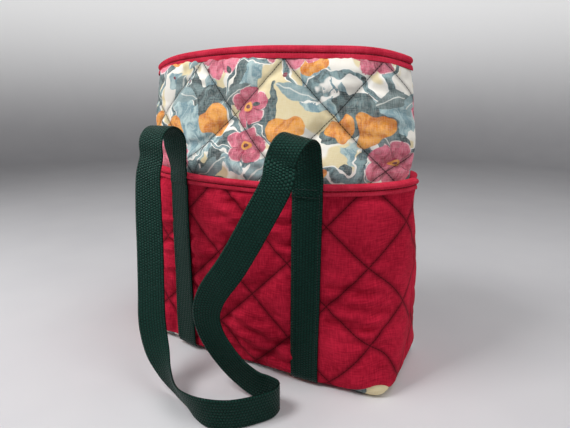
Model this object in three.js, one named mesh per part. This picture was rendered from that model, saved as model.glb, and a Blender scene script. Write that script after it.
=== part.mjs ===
// Quilted tote bag: padded front, back and base, a bound pocket on each side and two webbing handles.
// Millimetres, +Z up, the front faces -Y, and the origin is the middle of the base, on the floor.
import * as THREE from "three";

// Outside of the printed body cloth: the belly's half sizes, and how much the other heights differ from it.
const HALF_WIDTH = 137;
const HALF_DEPTH = 60.5;
const BASE_INSET = 1.5;
const WAIST_INSET = 2;
const SHOULDER_SPREAD = 1.5;
const SHOULDER_DEPTH_SHARE = 0.61;
const MOUTH_NARROWING = 11;
const MOUTH_DEPTH_SHARE = 0.25;
const BELLY_HEIGHT = 60;
const POCKET_HEIGHT = 176;
const SHOULDER_RISE = 32;
const BODY_HEIGHT = 286;

// Squareness of the plan outline: 2 is an ellipse and higher is boxier.
const BASE_SQUARENESS = 7;
const BELLY_SQUARENESS = 3.3;
const WAIST_SQUARENESS = 2.5;
const MOUTH_SQUARENESS = 2;

// Droop of the mouth at the side seams, rise of the pocket edge there, and the tuck under the base edge.
const MOUTH_DIP = 11;
const MOUTH_DIP_POWER = 6;
const POCKET_EDGE_RISE = 5;
const BASE_TUCK = 4;
const BASE_TUCK_HEIGHT = 8;

// Cloth layers, and the gap left between layers that touch.
const COTTON = 0.6;
const BATTING = 3;
const LINING = 0.5;
const POCKET_BATTING = 2.4;
const GAP = 0.3;

// The pocket starts just above the floor, and the body stands back from it between the sewn lines.
const POCKET_BOTTOM = 3;
const POCKET_SLACK = 9;
const SLACK_POWER = 4;

// Diamond quilting of the printed panels above the pockets: half of a diamond's width and height along the
// cloth, a crossing of the sewn lines right of the middle and up from the pocket level, how high the padding
// stands between the lines, the plain strip left at each edge, and how late the padding thins to a side seam.
const QUILT_HALF_WIDTH = 47.5;
const QUILT_HALF_HEIGHT = 49;
const QUILT_CROSSING_RIGHT = -22;
const QUILT_CROSSING_UP = 61;
const QUILT_PUFF = 3;
const QUILT_EDGE = 6;
const SEAM_FADE_POWER = 8;

// The pockets' smaller diamonds, with the crossing up from the floor, the strip at the pocket's bottom, under
// its binding and beside each sewn leg where the padding thins, and how far the cloth is flat beside a leg.
const POCKET_QUILT_HALF_WIDTH = 34.3;
const POCKET_QUILT_HALF_HEIGHT = 34;
const POCKET_QUILT_CROSSING_RIGHT = 12;
const POCKET_QUILT_CROSSING_UP = 75;
const POCKET_QUILT_EDGE = 12;
const LEG_MARGIN = 1.5;

// Folded bindings on the mouth and on the pocket edges.
const BINDING_CLOTH = 0.9;
const MOUTH_BINDING_HEIGHT = 10;
const POCKET_BINDING_HEIGHT = 8;

// Webbing handles. Each leg is sewn down to just past the pocket edge, rises free and folds over.
const WEBBING_WIDTH = 25.4;
const WEBBING_THICKNESS = 1.4;
const STRAP_SPACING = 130;
const LEG_BOTTOM = 4;
const LEG_OVER_EDGE = 4;
const LEG_CLIMB = 4;
const FOLD_RISE = 23;
const FOLD_LEAN = 2.5;
const FOLD_RADIUS = 12;
const LOOP_LEAD = 8;
const LEFT_FOLD_TILT = THREE.MathUtils.degToRad(0);
const RIGHT_FOLD_TILT = THREE.MathUtils.degToRad(11);

// Mesh fineness.
const SIDE_STEPS = 6;
const MIDDLE_STEPS = 8;
const WALK_STEPS = 400;
const LAST_QUILT_ACROSS = 0.97;
const FOLD_STEPS = 10;
const LOOP_STEPS = 60;

// Free loop of the front handle, as it lies: the middle of the webbing, as distances right of the bag,
// forward of the folds and up from the floor, and the way its width points.
const LOOP_ROUTE = [
  { at: [-65.6, 2.6, 181], width: [0.99, 0.12, 0] },
  { at: [-63.5, 10.2, 154], width: [0.98, 0.2, 0] },
  { at: [-60, 18.2, 121], width: [0.98, 0.2, 0] },
  { at: [-57, 25.2, 86], width: [0.98, 0.2, 0] },
  { at: [-53, 31.2, 57], width: [0.95, 0.28, 0.1] },
  { at: [-46, 35.2, 36], width: [0.87, 0.2, 0.45] },
  { at: [-35, 39.7, 22], width: [0.6, -0.1, 0.8] },
  { at: [-21, 45.2, 14.5], width: [0.25, -0.35, 0.9] },
  { at: [-6, 52.7, 13], width: [0, -0.4, 0.92] },
  { at: [9, 58.2, 13], width: [0, -0.2, 0.98] },
  { at: [24, 58.7, 13], width: [0, 0, 1] },
  { at: [39, 52.2, 13], width: [0, 0, 1] },
  { at: [53, 39.2, 13], width: [0, 0, 1] },
  { at: [62, 25.2, 13], width: [0, 0, 1] },
  { at: [61, 15.2, 13], width: [0, 0, 1] },
  { at: [51, 12.2, 13], width: [0, 0, 1] },
  { at: [39, 13.2, 14.5], width: [0.15, 0, 0.98] },
  { at: [23, 14.2, 22.5], width: [0.5, 0, 0.86] },
  { at: [8, 15.2, 36.5], width: [0.75, 0.05, 0.66] },
  { at: [-3, 16.2, 53], width: [0.92, 0.1, 0.38] },
  { at: [-6, 17.2, 70], width: [1, 0.15, 0] },
  { at: [-0.5, 17.2, 87], width: [0.94, 0.15, -0.3] },
  { at: [19, 14.2, 116], width: [0.87, 0.15, -0.47] },
  { at: [41, 9.2, 156], width: [0.88, 0.12, -0.45] },
  { at: [55, 4.2, 186], width: [0.91, 0.05, -0.4] },
];

// Distances in from the outside of the body cloth, and up from the floor under the base.
const TO_BATTING = COTTON + GAP;
const TO_LINING = TO_BATTING + BATTING + GAP;
const BODY_STACK = TO_LINING + LINING;
const ABOVE_BASE = BODY_STACK + GAP;
// Distances out from the back of the pocket lining.
const TO_POCKET_BATTING = LINING + GAP;
const TO_POCKET_COTTON = TO_POCKET_BATTING + POCKET_BATTING + GAP;
const POCKET_STACK = TO_POCKET_COTTON + COTTON;
// Height of the webbing's back over the pocket cloth where it crosses the binding.
const OVER_BINDING = GAP + BINDING_CLOTH + GAP;
const STRAP_X = STRAP_SPACING / 2;
const SEWN_ACROSS = Math.asin(STRAP_X / HALF_WIDTH) / (Math.PI / 2);

// Half width, half depth and squareness of the body at five heights.
const OUTLINES = [
  { z: 0, size: [HALF_WIDTH - BASE_INSET, HALF_DEPTH - BASE_INSET, BASE_SQUARENESS] },
  { z: BELLY_HEIGHT, size: [HALF_WIDTH, HALF_DEPTH, BELLY_SQUARENESS] },
  { z: POCKET_HEIGHT, size: [HALF_WIDTH - WAIST_INSET, HALF_DEPTH - WAIST_INSET, WAIST_SQUARENESS] },
  {
    z: POCKET_HEIGHT + SHOULDER_RISE,
    size: [HALF_WIDTH + SHOULDER_SPREAD, HALF_DEPTH * SHOULDER_DEPTH_SHARE, MOUTH_SQUARENESS],
  },
  { z: BODY_HEIGHT, size: [HALF_WIDTH - MOUTH_NARROWING, HALF_DEPTH * MOUTH_DEPTH_SHARE, MOUTH_SQUARENESS] },
];

// Slope at each outline for a curve that never overshoots its points.
function slopesOf(rows, column) {
  const rise = [];
  for (let i = 0; i + 1 < rows.length; i += 1) {
    rise.push((rows[i + 1].size[column] - rows[i].size[column]) / (rows[i + 1].z - rows[i].z));
  }
  return rows.map((row, i) => {
    if (i === 0) return rise[0];
    if (i === rows.length - 1) return rise[i - 1];
    if (rise[i - 1] * rise[i] <= 0) return 0;
    const below = row.z - rows[i - 1].z;
    const above = rows[i + 1].z - row.z;
    const first = 2 * above + below;
    const second = above + 2 * below;
    return (first + second) / (first / rise[i - 1] + second / rise[i]);
  });
}

const SLOPES = [0, 1, 2].map((column) => slopesOf(OUTLINES, column));

// Half width, half depth and squareness of the body at a height.
function outlineAt(height) {
  const z = THREE.MathUtils.clamp(height, 0, BODY_HEIGHT);
  let k = 0;
  while (k < OUTLINES.length - 2 && z > OUTLINES[k + 1].z) k += 1;
  const span = OUTLINES[k + 1].z - OUTLINES[k].z;
  const t = (z - OUTLINES[k].z) / span;
  return [0, 1, 2].map((column) => {
    const start = OUTLINES[k].size[column];
    const end = OUTLINES[k + 1].size[column];
    const leave = SLOPES[column][k] * span;
    const arrive = SLOPES[column][k + 1] * span;
    const blend = t * t * (3 - 2 * t);
    return start + (end - start) * blend + leave * t * (1 - t) * (1 - t) - arrive * t * t * (1 - t);
  });
}

function sharesAcross(across) {
  return Math.sin((across * Math.PI) / 2);
}

function rimHeight(across) {
  return BODY_HEIGHT - MOUTH_DIP * Math.abs(sharesAcross(across)) ** MOUTH_DIP_POWER;
}

function pocketEdge(across) {
  return POCKET_HEIGHT + POCKET_EDGE_RISE * sharesAcross(across) ** 2;
}

// Plan outline of the body grown by outward, and drawn in at the base edge.
function grownOutline(height, outward) {
  const [halfWidth, halfDepth, squareness] = outlineAt(height);
  const tuck = BASE_TUCK * Math.max(0, 1 - height / BASE_TUCK_HEIGHT);
  return { halfWidth: halfWidth + outward - tuck, halfDepth: halfDepth + outward - tuck, squareness };
}

function depthAt(share, outline) {
  const rest = Math.max(0, 1 - Math.abs(share) ** outline.squareness);
  return outline.halfDepth * rest ** (1 / outline.squareness);
}

// A point of the front surface: across runs from -1 at the left seam to 1 at the right seam.
function frontPoint(across, height, outward) {
  const outline = grownOutline(height, outward);
  const share = sharesAcross(across);
  return new THREE.Vector3(share * outline.halfWidth, -depthAt(share, outline), height);
}

// How far the body stands back from the pocket: nothing at the sewn lines, most between them.
function slackAt(across, height) {
  const edge = pocketEdge(across);
  const middle = Math.abs(across) < SEWN_ACROSS ? 0 : (1 + SEWN_ACROSS) / 2;
  const reach = Math.abs(across) < SEWN_ACROSS ? SEWN_ACROSS : (1 - SEWN_ACROSS) / 2;
  const offset = (Math.abs(across) - middle) / reach;
  const open = THREE.MathUtils.smoothstep(height, BASE_TUCK_HEIGHT, BELLY_HEIGHT);
  const close = 1 - THREE.MathUtils.smoothstep(height, edge, edge + SHOULDER_RISE);
  return POCKET_SLACK * Math.max(0, 1 - Math.abs(offset) ** SLACK_POWER) * open * close;
}

// Gap behind the pocket lining, wide enough at the pocket edge for the folded binding.
function pocketStandoff(height) {
  const room = BINDING_CLOTH + GAP;
  const top = POCKET_HEIGHT - POCKET_BINDING_HEIGHT;
  return GAP + room * THREE.MathUtils.smoothstep(height, BELLY_HEIGHT, top);
}

// The body wall, set back behind the pocket and stopped at the side seam.
function bodyPoint(across, height, outward) {
  const point = frontPoint(across, height, outward);
  point.y = Math.min(point.y + slackAt(across, height), -GAP / 2);
  return point;
}

// The pocket panel, measured outwards from the back of its lining.
function pocketPoint(across, height, outward) {
  const point = frontPoint(across, height, pocketStandoff(height) + outward);
  point.y = Math.min(point.y, -GAP / 2);
  return point;
}

// Stations from seam to seam, with one on each sewn line.
function stationsAcross() {
  const stations = [];
  for (let i = 0; i < SIDE_STEPS; i += 1) {
    stations.push(-1 + ((1 - SEWN_ACROSS) * i) / SIDE_STEPS);
  }
  for (let i = 0; i <= MIDDLE_STEPS; i += 1) {
    stations.push(SEWN_ACROSS * ((2 * i) / MIDDLE_STEPS - 1));
  }
  for (let i = 1; i <= SIDE_STEPS; i += 1) {
    stations.push(SEWN_ACROSS + ((1 - SEWN_ACROSS) * i) / SIDE_STEPS);
  }
  return stations;
}

const ACROSS = stationsAcross();

// Heights of the pocket's rows, which the wall behind it shares.
function pocketLevels(bottom, across) {
  const edge = pocketEdge(across);
  const bound = edge - POCKET_BINDING_HEIGHT;
  const rise = bound - BELLY_HEIGHT;
  const lower = (BASE_TUCK_HEIGHT + BELLY_HEIGHT) / 2;
  return [bottom, BASE_TUCK_HEIGHT, lower, BELLY_HEIGHT, BELLY_HEIGHT + rise / 2, bound, edge];
}

// A row of a panel at the shared stations, from its height at each.
function plainRow(heightAt) {
  return { places: ACROSS, height: ACROSS.map(heightAt), puff: ACROSS.map(() => 0), slant: () => false };
}

function pocketRows(bottom) {
  return pocketLevels(bottom, 0).map((_, i) => plainRow((across) => pocketLevels(bottom, across)[i]));
}

// Values of a line's parameter where it has gone each of the given distances, which rise.
function whereAt(lineAt, from, to, distances) {
  const found = [];
  const stride = (to - from) / WALK_STEPS;
  let gone = 0;
  for (let i = 0; i < WALK_STEPS; i += 1) {
    const start = from + stride * i;
    const length = lineAt(start).distanceTo(lineAt(start + stride));
    while (found.length < distances.length && distances[found.length] <= gone + length) {
      found.push(start + (stride * (distances[found.length] - gone)) / length);
    }
    gone += length;
  }
  return found;
}

// Half steps of the quilting along one direction, counted from its crossing, between two distances.
function quiltSteps(crossing, half, low, high) {
  const step = half / 2;
  const steps = [];
  for (let k = Math.ceil((low - crossing) / step); crossing + k * step <= high; k += 1) steps.push(k);
  return steps;
}

// Places at half steps of a quilting along a line across, from its crossing, between the side seams.
function quiltColumns(lineAt, crossing, half) {
  const reach = 2 * (HALF_WIDTH + HALF_DEPTH);
  const steps = quiltSteps(crossing, half, -reach, reach);
  const runs = steps.map((k) => ({ k, run: crossing + (k * half) / 2 }));
  const columns = (sign) => {
    const side = runs.filter(({ run }) => run * sign >= 0).sort((a, b) => (a.run - b.run) * sign);
    const distances = side.map(({ run }) => run * sign);
    const found = whereAt(lineAt, 0, LAST_QUILT_ACROSS, distances);
    return found.map((across, i) => ({ k: side[i].k, across: across * sign, share: 1 }));
  };
  return [...columns(-1).reverse(), ...columns(1)];
}

// Columns of a pocket's quilting: flat from edge to edge of each sewn leg, with thinner padding beside it.
function pocketColumns() {
  const lineAt = (across) => pocketPoint(across, BELLY_HEIGHT, POCKET_STACK);
  const columns = quiltColumns(lineAt, POCKET_QUILT_CROSSING_RIGHT, POCKET_QUILT_HALF_WIDTH);
  const flat = WEBBING_WIDTH / 2 + LEG_MARGIN;
  const fromFlat = ({ across }) => Math.abs(Math.abs(lineAt(across).x) - STRAP_X) - flat;
  const quilted = columns.filter((column) => fromFlat(column) > 2 * LEG_MARGIN);
  const thinned = quilted.map((column) => ({
    ...column,
    share: Math.min(1, fromFlat(column) / POCKET_QUILT_EDGE),
  }));
  const edges = [-STRAP_X - flat, -STRAP_X + flat, STRAP_X - flat, STRAP_X + flat];
  const halfWidth = lineAt(1).x;
  const beside = edges.map((x) => ({ k: 0, across: Math.asin(x / halfWidth) / (Math.PI / 2), share: 0 }));
  return [...thinned, ...beside].sort((a, b) => a.across - b.across);
}

// How high the padding stands at a column and a half step up from the crossing: nothing on a sewn line,
// most between lines, and thinning to the side seams.
function puffAt({ k, across, share }, up) {
  const away = (steps) => Math.abs(((Math.abs(steps) / 2 + 1) % 2) - 1);
  const inward = Math.min(away(k + up), away(k - up));
  return QUILT_PUFF * share * (1 - (1 - inward) ** 2) * (1 - Math.abs(across) ** SEAM_FADE_POWER);
}

// A row at a half step up from the crossing, with each square between rows cut along the sewn lines.
function quiltRow(columns, up, heightAt) {
  const places = [-1, ...columns.map(({ across }) => across), 1];
  const steps = [columns[0].k - 1, ...columns.map(({ k }) => k)];
  return {
    places,
    height: places.map(heightAt),
    puff: [0, ...columns.map((column) => puffAt(column, up)), 0],
    slant: (i) => Math.abs(steps[i] - up) % 2 === 1,
  };
}

// Rows of a pocket's outer cloth and padding, with the plain rows of its bottom and its bound edge.
function quiltedPocketRows(bottom) {
  const columns = pocketColumns();
  const low = BASE_TUCK_HEIGHT + POCKET_QUILT_EDGE;
  const high = POCKET_HEIGHT - POCKET_BINDING_HEIGHT - POCKET_QUILT_EDGE;
  const ups = quiltSteps(POCKET_QUILT_CROSSING_UP, POCKET_QUILT_HALF_HEIGHT, low, high);
  const heightOf = (up) => POCKET_QUILT_CROSSING_UP + (up * POCKET_QUILT_HALF_HEIGHT) / 2;
  const plain = pocketRows(bottom);
  const quilted = ups.map((up) => quiltRow(columns, up, () => heightOf(up)));
  return [...plain.slice(0, 2), ...quilted, ...plain.slice(-2)];
}

// Rows of the quilted part of a printed panel, between the pocket edge and the mouth's binding.
function quiltRows() {
  const middle = (height) => frontPoint(0, height, 0);
  const low = POCKET_EDGE_RISE + QUILT_EDGE;
  const ups = quiltSteps(QUILT_CROSSING_UP, QUILT_HALF_HEIGHT, low, 2 * BODY_HEIGHT);
  const climbs = ups.map((k) => QUILT_CROSSING_UP + (k * QUILT_HALF_HEIGHT) / 2);
  const top = BODY_HEIGHT - MOUTH_BINDING_HEIGHT - QUILT_EDGE;
  const heights = whereAt(middle, POCKET_HEIGHT, top, climbs);
  const lineAt = (across) => frontPoint(across, POCKET_HEIGHT + SHOULDER_RISE, 0);
  const columns = quiltColumns(lineAt, QUILT_CROSSING_RIGHT, QUILT_HALF_WIDTH);
  return heights.map((height, i) => {
    const share = (height - POCKET_HEIGHT) / (BODY_HEIGHT - POCKET_HEIGHT);
    return quiltRow(columns, ups[i], (across) => height - (BODY_HEIGHT - rimHeight(across)) * share);
  });
}

function wallRows(bottom) {
  const bound = plainRow((across) => rimHeight(across) - MOUTH_BINDING_HEIGHT);
  return [...pocketRows(bottom), ...quiltRows(), bound, plainRow(rimHeight)];
}

// A closed body from shared points and triangles, turned so that its faces point out.
function closedBody(points, triangles) {
  let volume = 0;
  const normal = new THREE.Vector3();
  for (const [a, b, c] of triangles) {
    volume += normal.crossVectors(points[b], points[c]).dot(points[a]);
  }
  const faces = volume < 0 ? triangles.map(([a, b, c]) => [a, c, b]) : triangles;
  const geometry = new THREE.BufferGeometry().setFromPoints(points);
  geometry.setIndex(faces.flat());
  geometry.computeVertexNormals();
  return geometry;
}

function quad(a, b, c, d) {
  return [[a, b, c], [a, c, d]];
}

// Triangles between two lines of numbered points, which may lie at different places along them. Where the
// places are alike, the first line says which way each square is cut, so that the cuts follow the sewn lines.
function strip(first, second) {
  const triangles = [];
  let i = 0;
  let j = 0;
  while (i + 1 < first.ids.length || j + 1 < second.ids.length) {
    const nextFirst = first.places[i + 1] ?? Infinity;
    const nextSecond = second.places[j + 1] ?? Infinity;
    if (nextFirst < nextSecond || (nextFirst === nextSecond && first.slant(i))) {
      triangles.push([first.ids[i], first.ids[i + 1], second.ids[j]]);
      i += 1;
    } else {
      triangles.push([first.ids[i], second.ids[j + 1], second.ids[j]]);
      j += 1;
    }
  }
  return triangles;
}

// A closed sheet from the rows of its outer and inner side, which start and end at the same heights.
function sheetBody(outerRows, innerRows) {
  const points = [];
  const numbered = (rows) => rows.map((row) => {
    const ids = row.points.map((_, i) => points.length + i);
    points.push(...row.points);
    return { ...row, ids };
  });
  const outer = numbered(outerRows);
  const inner = numbered(innerRows);
  const faces = (rows) => rows.slice(1).flatMap((row, i) => strip(rows[i], row));
  const turned = (triangles) => triangles.map(([a, b, c]) => [a, c, b]);
  const sideEdge = (rows, end) => {
    const ids = rows.map((row) => row.ids.at(end));
    return { ids, places: ids.map((id) => points[id].z), slant: () => false };
  };
  return closedBody(points, [
    ...faces(outer),
    ...turned(faces(inner)),
    ...turned(strip(outer[0], inner[0])),
    ...strip(outer.at(-1), inner.at(-1)),
    ...strip(sideEdge(outer, 0), sideEdge(inner, 0)),
    ...turned(strip(sideEdge(outer, -1), sideEdge(inner, -1))),
  ]);
}

// One cloth layer of a panel, between two distances from the panel's reference surface. Each side of it
// follows the quilting's padding or stays plain.
function panelLayer(pointAt, rows, outer, inner, innerRows = rows) {
  const side = (sideRows, { at, padded }) => sideRows.map((row) => {
    const outward = (i) => at + (padded ? row.puff[i] : 0);
    return { ...row, points: row.places.map((across, i) => pointAt(across, row.height[i], outward(i))) };
  });
  return sheetBody(side(rows, outer), side(innerRows, inner));
}

// A body swept through sections of the same number of points, closed on itself or capped at its ends.
function sweptBody(sections, closed) {
  const count = sections[0].length;
  const points = sections.flat();
  const triangles = [];
  const last = closed ? sections.length : sections.length - 1;
  for (let i = 0; i < last; i += 1) {
    const here = i * count;
    const next = ((i + 1) % sections.length) * count;
    for (let j = 0; j < count; j += 1) {
      const k = (j + 1) % count;
      triangles.push(...quad(here + j, here + k, next + k, next + j));
    }
  }
  return { points, triangles, count };
}

// Folded binding: a tape over an edge, as distances out from the edge's outer face and up from its top.
// The outer side of the tape comes first, then its inner side the other way round.
function bindingSection(stack, depth) {
  const back = -stack - GAP;
  const outside = GAP + BINDING_CLOTH;
  const inside = back - BINDING_CLOTH;
  const outer = [[outside, -depth], [outside, 0], [GAP, outside]];
  outer.push([back, outside], [inside, 0], [inside, -depth]);
  const inner = [[GAP, -depth], [GAP, 0], [GAP, GAP], [back, GAP], [back, 0], [back, -depth]];
  return [...outer, ...inner.reverse()];
}

function mouthBinding() {
  const section = bindingSection(BODY_STACK, MOUTH_BINDING_HEIGHT);
  const front = ACROSS.map((across) =>
    section.map(([outward, up]) => {
      const point = frontPoint(across, rimHeight(across) + Math.min(up, 0), outward);
      point.z += Math.max(up, 0);
      return point;
    }));
  const back = front.slice(1, -1).reverse().map((points) =>
    points.map((point) => new THREE.Vector3(point.x, -point.y, point.z)));
  const { points, triangles } = sweptBody([...front, ...back], true);
  return closedBody(points, triangles);
}

function pocketBinding() {
  const section = bindingSection(POCKET_STACK, POCKET_BINDING_HEIGHT);
  const sections = ACROSS.map((across) =>
    section.map(([outward, up]) => {
      const height = pocketEdge(across) + Math.min(up, 0);
      const point = pocketPoint(across, height, POCKET_STACK + outward);
      point.z += Math.max(up, 0);
      return point;
    }));
  const { points, triangles, count } = sweptBody(sections, false);
  const end = (sections.length - 1) * count;
  for (let i = 0; i + 1 < count / 2; i += 1) {
    const facing = count - 1 - i;
    triangles.push(...quad(i + 1, i, facing, facing - 1));
    triangles.push(...quad(end + i, end + i + 1, end + facing - 1, end + facing));
  }
  return closedBody(points, triangles);
}

// One layer of the base, from one height to another, inside the walls' layers.
function baseLayer(bottom, top, outward) {
  const ring = (height) => {
    const front = ACROSS.map((across) => frontPoint(across, height, outward));
    const back = front.slice(1, -1).reverse().map((p) => new THREE.Vector3(p.x, -p.y, p.z));
    return [...front, ...back];
  };
  const { points, triangles, count } = sweptBody([ring(bottom), ring(top)], false);
  const half = ACROSS.length - 1;
  for (let i = 0; i < half; i += 1) {
    const opposite = (k) => (count - k) % count;
    const faces = [[i, i + 1, opposite(i)], [i + 1, opposite(i + 1), opposite(i)]];
    for (const [a, b, c] of faces.filter((face) => new Set(face).size === 3)) {
      triangles.push([b, a, c], [count + a, count + b, count + c]);
    }
  }
  return closedBody(points, triangles);
}

// Webbing through stations, each with the middle of the tape and the way its width and face point.
function webbingBody(stations) {
  const corners = stations.map(({ at, width, face }) => {
    const along = width.clone().multiplyScalar(WEBBING_WIDTH / 2);
    const thick = face.clone().multiplyScalar(WEBBING_THICKNESS / 2);
    return [
      at.clone().add(along).add(thick),
      at.clone().sub(along).add(thick),
      at.clone().sub(along).sub(thick),
      at.clone().add(along).sub(thick),
    ];
  });
  const { points, triangles, count } = sweptBody(corners, false);
  const end = (corners.length - 1) * count;
  triangles.push(...quad(3, 2, 1, 0), ...quad(end, end + 1, end + 2, end + 3));
  return closedBody(points, triangles);
}

// Depth of the pocket's face at a distance from the middle of the bag.
function pocketFace(x, height, outward) {
  const outline = grownOutline(height, pocketStandoff(height) + POCKET_STACK + outward);
  return -depthAt(x / outline.halfWidth, outline);
}

function legEdge() {
  return pocketEdge(SEWN_ACROSS);
}

// Sewn leg: follows the pocket's face, then climbs over the binding at the pocket edge.
function sewnLeg(middle) {
  const edge = legEdge();
  const bound = edge - POCKET_BINDING_HEIGHT;
  const levels = pocketLevels(LEG_BOTTOM, SEWN_ACROSS).slice(0, -2);
  const stations = levels.map((height) => ({ height, lift: GAP }));
  stations.push({ height: bound - LEG_CLIMB, lift: GAP });
  stations.push({ height: bound - GAP, lift: OVER_BINDING });
  stations.push({ height: edge, lift: OVER_BINDING });
  stations.push({ height: edge + LEG_OVER_EDGE, lift: OVER_BINDING });
  const places = [-0.5, 0, 0.5];
  const line = ({ height, lift }, extra) => places.map((share) => {
    const x = middle + share * WEBBING_WIDTH;
    const y = pocketFace(x, Math.min(height, edge), lift + extra);
    return new THREE.Vector3(x, y, height);
  });
  const side = (extra) =>
    stations.map((station) => ({ places, slant: () => false, points: line(station, extra) }));
  return sheetBody(side(WEBBING_THICKNESS), side(0));
}

// Where a leg ends, and where its fold starts.
function foldStart(middle) {
  const lift = OVER_BINDING + WEBBING_THICKNESS / 2;
  const legTop = new THREE.Vector3(middle, pocketFace(middle, legEdge(), lift), legEdge() + LEG_OVER_EDGE);
  const rise = new THREE.Vector3(middle, legTop.y - FOLD_LEAN, legTop.z + FOLD_RISE);
  return { legTop, rise };
}

function mixed(first, firstShare, second, secondShare) {
  return first.clone().multiplyScalar(firstShare).addScaledVector(second, secondShare);
}

// Half turn of the webbing about a level line tilted in the panel's plane, so that it falls aslant.
function foldStations(middle, tilt) {
  const { legTop, rise } = foldStart(middle);
  const axis = new THREE.Vector3(Math.cos(tilt), 0, -Math.sin(tilt));
  const up = new THREE.Vector3(Math.sin(tilt), 0, Math.cos(tilt));
  const back = new THREE.Vector3(0, 1, 0);
  const centre = rise.clone().addScaledVector(back, -FOLD_RADIUS);
  const stations = [];
  const legGap = new THREE.Vector3(0, 0, GAP);
  const width = new THREE.Vector3(1, 0, 0);
  stations.push({ at: legTop.clone().add(legGap), width, face: back.clone() });
  for (let i = 0; i <= FOLD_STEPS; i += 1) {
    const angle = (Math.PI * i) / FOLD_STEPS;
    const outward = mixed(back, Math.cos(angle), up, Math.sin(angle));
    const around = mixed(back, -Math.sin(angle), up, Math.cos(angle));
    const at = centre.clone().addScaledVector(outward, FOLD_RADIUS);
    at.addScaledVector(axis, -FOLD_RADIUS * angle * Math.tan(tilt));
    const turned = mixed(around, Math.sin(tilt), axis, Math.cos(tilt));
    stations.push({ at, width: turned, face: outward });
  }
  return stations;
}

// The loop's two stations next to a fold: a gap below the fold's end, then straight on.
function loopLead(middle, tilt) {
  const last = foldStations(middle, tilt).pop();
  const down = new THREE.Vector3().crossVectors(last.width, last.face);
  return [GAP, LOOP_LEAD].map((drop) => {
    const at = last.at.clone().addScaledVector(down, drop);
    return { at, width: last.width };
  });
}

// Free loop: a smooth route between the two folds, with the width kept square to it.
function loopStations() {
  const front = foldStart(STRAP_X).rise.y - 2 * FOLD_RADIUS;
  const route = [
    ...loopLead(-STRAP_X, LEFT_FOLD_TILT),
    ...LOOP_ROUTE.map(({ at: [right, forward, height], width }) => {
      const at = new THREE.Vector3(right, front - forward, height);
      return { at, width: new THREE.Vector3(...width) };
    }),
    ...loopLead(STRAP_X, RIGHT_FOLD_TILT).reverse(),
  ];
  const middle = new THREE.CatmullRomCurve3(route.map(({ at }) => at), false, "centripetal");
  const widths = new THREE.CatmullRomCurve3(route.map(({ width }) => width), false, "catmullrom");
  const stations = [];
  for (let i = 0; i <= LOOP_STEPS; i += 1) {
    const t = i / LOOP_STEPS;
    const along = middle.getTangent(t);
    const width = widths.getPoint(t);
    width.addScaledVector(along, -width.dot(along)).normalize();
    stations.push({ at: middle.getPoint(t), width, face: new THREE.Vector3().crossVectors(along, width) });
  }
  return stations;
}

const MATERIALS = {
  print: { color: 0xbfb7a0, roughness: 0.85, metalness: 0 },
  red: { color: 0x9a1c34, roughness: 0.85, metalness: 0 },
  batting: { color: 0xe8e4da, roughness: 0.95, metalness: 0 },
  lining: { color: 0xb09aa0, roughness: 0.85, metalness: 0 },
  binding: { color: 0xb42a46, roughness: 0.8, metalness: 0 },
  webbing: { color: 0x1f4a3e, roughness: 0.6, metalness: 0 },
};

function part(name, geometry, material) {
  const mesh = new THREE.Mesh(geometry, new THREE.MeshStandardMaterial(MATERIALS[material]));
  mesh.name = name;
  return mesh;
}

// Everything on one side of the bag. The back is the front turned half a turn.
function bagSide(side) {
  const group = new THREE.Group();
  const padded = (at) => ({ at, padded: true });
  const plain = (at) => ({ at, padded: false });
  const body = (bottom, outer, inner) => panelLayer(bodyPoint, wallRows(bottom), outer, inner);
  const battingBack = plain(-TO_BATTING - BATTING);
  group.add(part(`${side}_outer_fabric`, body(TO_BATTING, padded(0), padded(-COTTON)), "print"));
  group.add(part(`${side}_batting`, body(TO_LINING, padded(-TO_BATTING), battingBack), "batting"));
  group.add(part(`${side}_lining`, body(ABOVE_BASE, plain(-TO_LINING), plain(-BODY_STACK)), "lining"));

  const flatRows = pocketRows(POCKET_BOTTOM);
  const rows = quiltedPocketRows(POCKET_BOTTOM);
  const pocket = (...layer) => panelLayer(pocketPoint, ...layer);
  const battingFront = padded(TO_POCKET_BATTING + POCKET_BATTING);
  const outerCloth = pocket(rows, padded(POCKET_STACK), padded(TO_POCKET_COTTON));
  group.add(part(`${side}_pocket_outer`, outerCloth, "red"));
  const padding = pocket(rows, battingFront, plain(TO_POCKET_BATTING), flatRows);
  group.add(part(`${side}_pocket_batting`, padding, "batting"));
  group.add(part(`${side}_pocket_lining`, pocket(flatRows, plain(LINING), plain(0)), "red"));
  group.add(part(`${side}_pocket_binding`, pocketBinding(), "binding"));

  group.add(part(`${side}_left_leg`, sewnLeg(-STRAP_X), "webbing"));
  group.add(part(`${side}_right_leg`, sewnLeg(STRAP_X), "webbing"));
  group.add(part(`${side}_left_bend`, webbingBody(foldStations(-STRAP_X, LEFT_FOLD_TILT)), "webbing"));
  group.add(part(`${side}_right_bend`, webbingBody(foldStations(STRAP_X, RIGHT_FOLD_TILT)), "webbing"));
  group.add(part(`${side}_handle_loop`, webbingBody(loopStations()), "webbing"));
  group.rotation.z = side === "back" ? Math.PI : 0;
  return group;
}

// The base layers and the binding that goes right round the mouth.
function sharedParts() {
  const group = new THREE.Group();
  const battingTop = TO_BATTING + BATTING;
  group.add(part("base_outer_fabric", baseLayer(0, COTTON, 0), "print"));
  group.add(part("base_batting", baseLayer(TO_BATTING, battingTop, -TO_BATTING), "batting"));
  group.add(part("base_lining", baseLayer(TO_LINING, BODY_STACK, -TO_LINING), "lining"));
  group.add(part("mouth_binding", mouthBinding(), "binding"));
  return group;
}

const bag = new THREE.Group();
bag.add(sharedParts());
bag.add(bagSide("front"));
bag.add(bagSide("back"));

export default bag;
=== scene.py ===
"""Looks of the quilted tote bag: padded printed panels, red pockets, bindings and woven webbing handles."""

import math

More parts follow.
